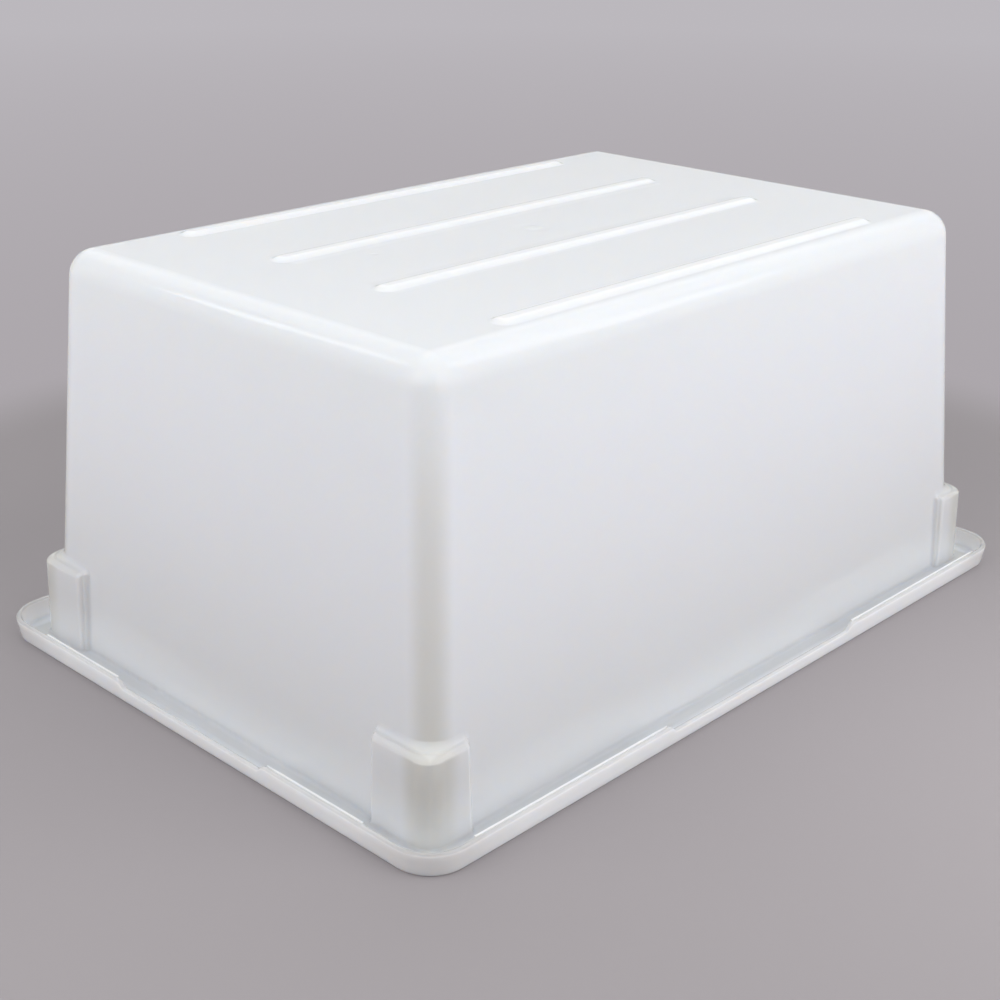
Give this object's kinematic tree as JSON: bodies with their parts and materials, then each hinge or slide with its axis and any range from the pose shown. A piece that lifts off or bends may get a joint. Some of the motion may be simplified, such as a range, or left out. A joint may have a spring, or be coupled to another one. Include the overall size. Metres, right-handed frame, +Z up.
{
  "type": "food storage box",
  "caption": "Deep rectangular food storage box moulded in one piece, with drafted walls, a flanged rim, hollow corner lugs and a ribbed base, shown standing upside down on its rim",
  "frame": {"origin": "centre of the rim plane, on the surface that the box stands on", "axes": "X along the length, Y along the width, Z up; as pictured the box is upside down, so its opening faces -Z and its base +Z, and a turn of 180 degrees about X brings it upright for use"},
  "size_m": [0.66, 0.466, 0.2979],
  "materials": {
    "box_plastic": "milky natural polyethylene, satin gloss, slightly see-through"
  },
  "bodies": {
    "root": {"box_body": "box_plastic"}
  },
  "joints": []
}
